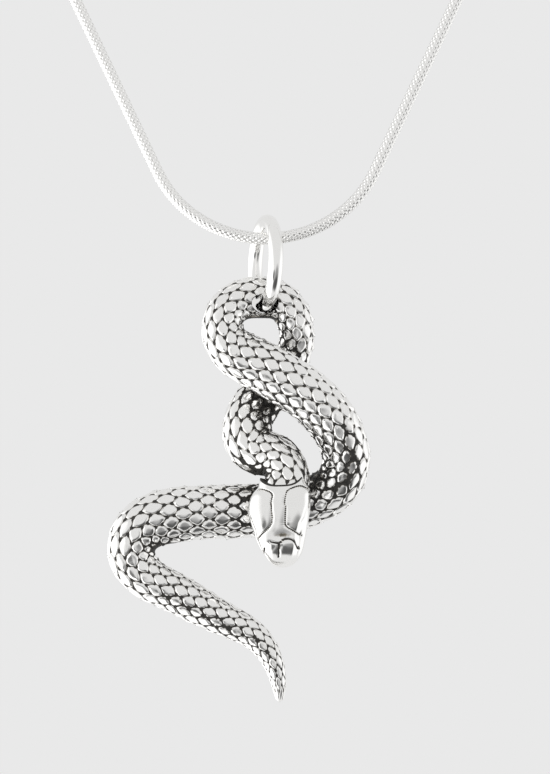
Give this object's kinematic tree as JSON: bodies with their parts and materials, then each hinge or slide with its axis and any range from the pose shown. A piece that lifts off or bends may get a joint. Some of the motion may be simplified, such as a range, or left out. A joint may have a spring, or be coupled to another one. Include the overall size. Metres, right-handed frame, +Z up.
{
  "type": "snake pendant necklace",
  "caption": "Cast snake pendant looped on itself, hung by a round jump ring from a fine snake chain necklace with a hook clasp at the nape.",
  "frame": {"origin": "middle of the nape, at the centre of the clasp, where the necklace rests on the back of the neck", "axes": "+X to the viewer's right, +Y away from the viewer, towards the wearer's back, +Z up; the pendant hangs in front, at negative Y and Z"},
  "size_m": [0.1166, 0.1135, 0.1718],
  "materials": {
    "chain": "polished",
    "findings": "polished",
    "jump_ring": "polished",
    "snake": "satin"
  },
  "bodies": {
    "necklace": {"chain": "chain", "chain_end_left": "findings", "chain_end_right": "findings", "clasp": "findings", "clasp_ring": "findings"},
    "ring": {"jump_ring": "jump_ring"},
    "pendant": {"snake": "snake"}
  },
  "joints": [
    {"name": "ring_swing", "type": "hinge", "parent": "necklace", "child": "ring", "pos_m": [0, -0.10598, -0.12323], "axis": [1, 0, 0], "range_deg": [-75, 75]},
    {"name": "pendant_rock", "type": "hinge", "parent": "ring", "child": "pendant", "pos_m": [-0.00025, -0.10598, -0.12987], "axis": [0.2501, -0.9681, -0.0109], "range_deg": [-40, 40]}
  ]
}
